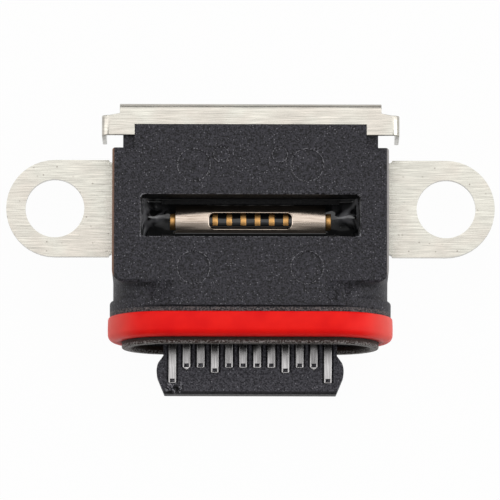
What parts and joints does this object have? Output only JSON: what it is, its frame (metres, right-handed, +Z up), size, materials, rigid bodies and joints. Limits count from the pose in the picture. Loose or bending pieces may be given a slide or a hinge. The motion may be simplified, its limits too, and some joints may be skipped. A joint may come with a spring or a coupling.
{
  "type": "usb-c socket",
  "caption": "Sealed receptacle module for a reversible small plug: black housing with an oval collar, red seal ring, two screw ears, a folded rear cover and a contact tongue.",
  "frame": {"origin": "midway between the axes of the two ear screw holes, on the underside of the ears", "axes": "+X across the part, from screw ear to screw ear; +Y to the rear, where it is soldered to a board, so the plug comes in from -Y; +Z up, along the screws, out of the face that the picture shows"},
  "size_m": [0.0174, 0.0101, 0.0045],
  "materials": {
    "moulded_black": "black glass-filled polymer, moulded with a fine spark-eroded texture and pale fibre specks",
    "tongue_black": "black glass-filled liquid-crystal polymer, as moulded",
    "insulator_black": "black liquid-crystal polymer, as moulded",
    "seal_silicone": "red liquid silicone rubber with a soft satin sheen",
    "bracket_steel": "stainless strip, cold rolled, with a fine grain across the part and a die-rolled edge",
    "cover_steel": "thin stainless sheet, cold rolled, with a fine grain across the part",
    "shield_metal": "thin nickel-plated stainless sheet, smooth and slightly warm",
    "contact_metal": "copper alloy, gold plated at the rear and pale grey plated where the plug wipes it",
    "sealing_compound": "black epoxy sealing compound, glossy, cured with a meniscus"
  },
  "bodies": {
    "root": {"housing": "moulded_black", "seal_ring": "seal_silicone", "mounting_bracket": "bracket_steel", "rear_cover": "cover_steel", "tongue_body": "tongue_black", "upper_carrier": "insulator_black", "lower_carrier": "insulator_black", "mid_plate": "shield_metal", "upper_shield_plate": "shield_metal", "lower_shield_plate": "shield_metal", "slot_sealant": "sealing_compound", "contact_a01": "contact_metal", "contact_a02": "contact_metal", "contact_a03": "contact_metal", "contact_a04": "contact_metal", "contact_a05": "contact_metal", "contact_a06": "contact_metal", "contact_a07": "contact_metal", "contact_a08": "contact_metal", "contact_a09": "contact_metal", "contact_a10": "contact_metal", "contact_a11": "contact_metal", "contact_a12": "contact_metal", "contact_b01": "contact_metal", "contact_b02": "contact_metal", "contact_b03": "contact_metal", "contact_b04": "contact_metal", "contact_b05": "contact_metal", "contact_b06": "contact_metal", "contact_b07": "contact_metal", "contact_b08": "contact_metal", "contact_b09": "contact_metal", "contact_b10": "contact_metal", "contact_b11": "contact_metal", "contact_b12": "contact_metal"}
  },
  "joints": []
}
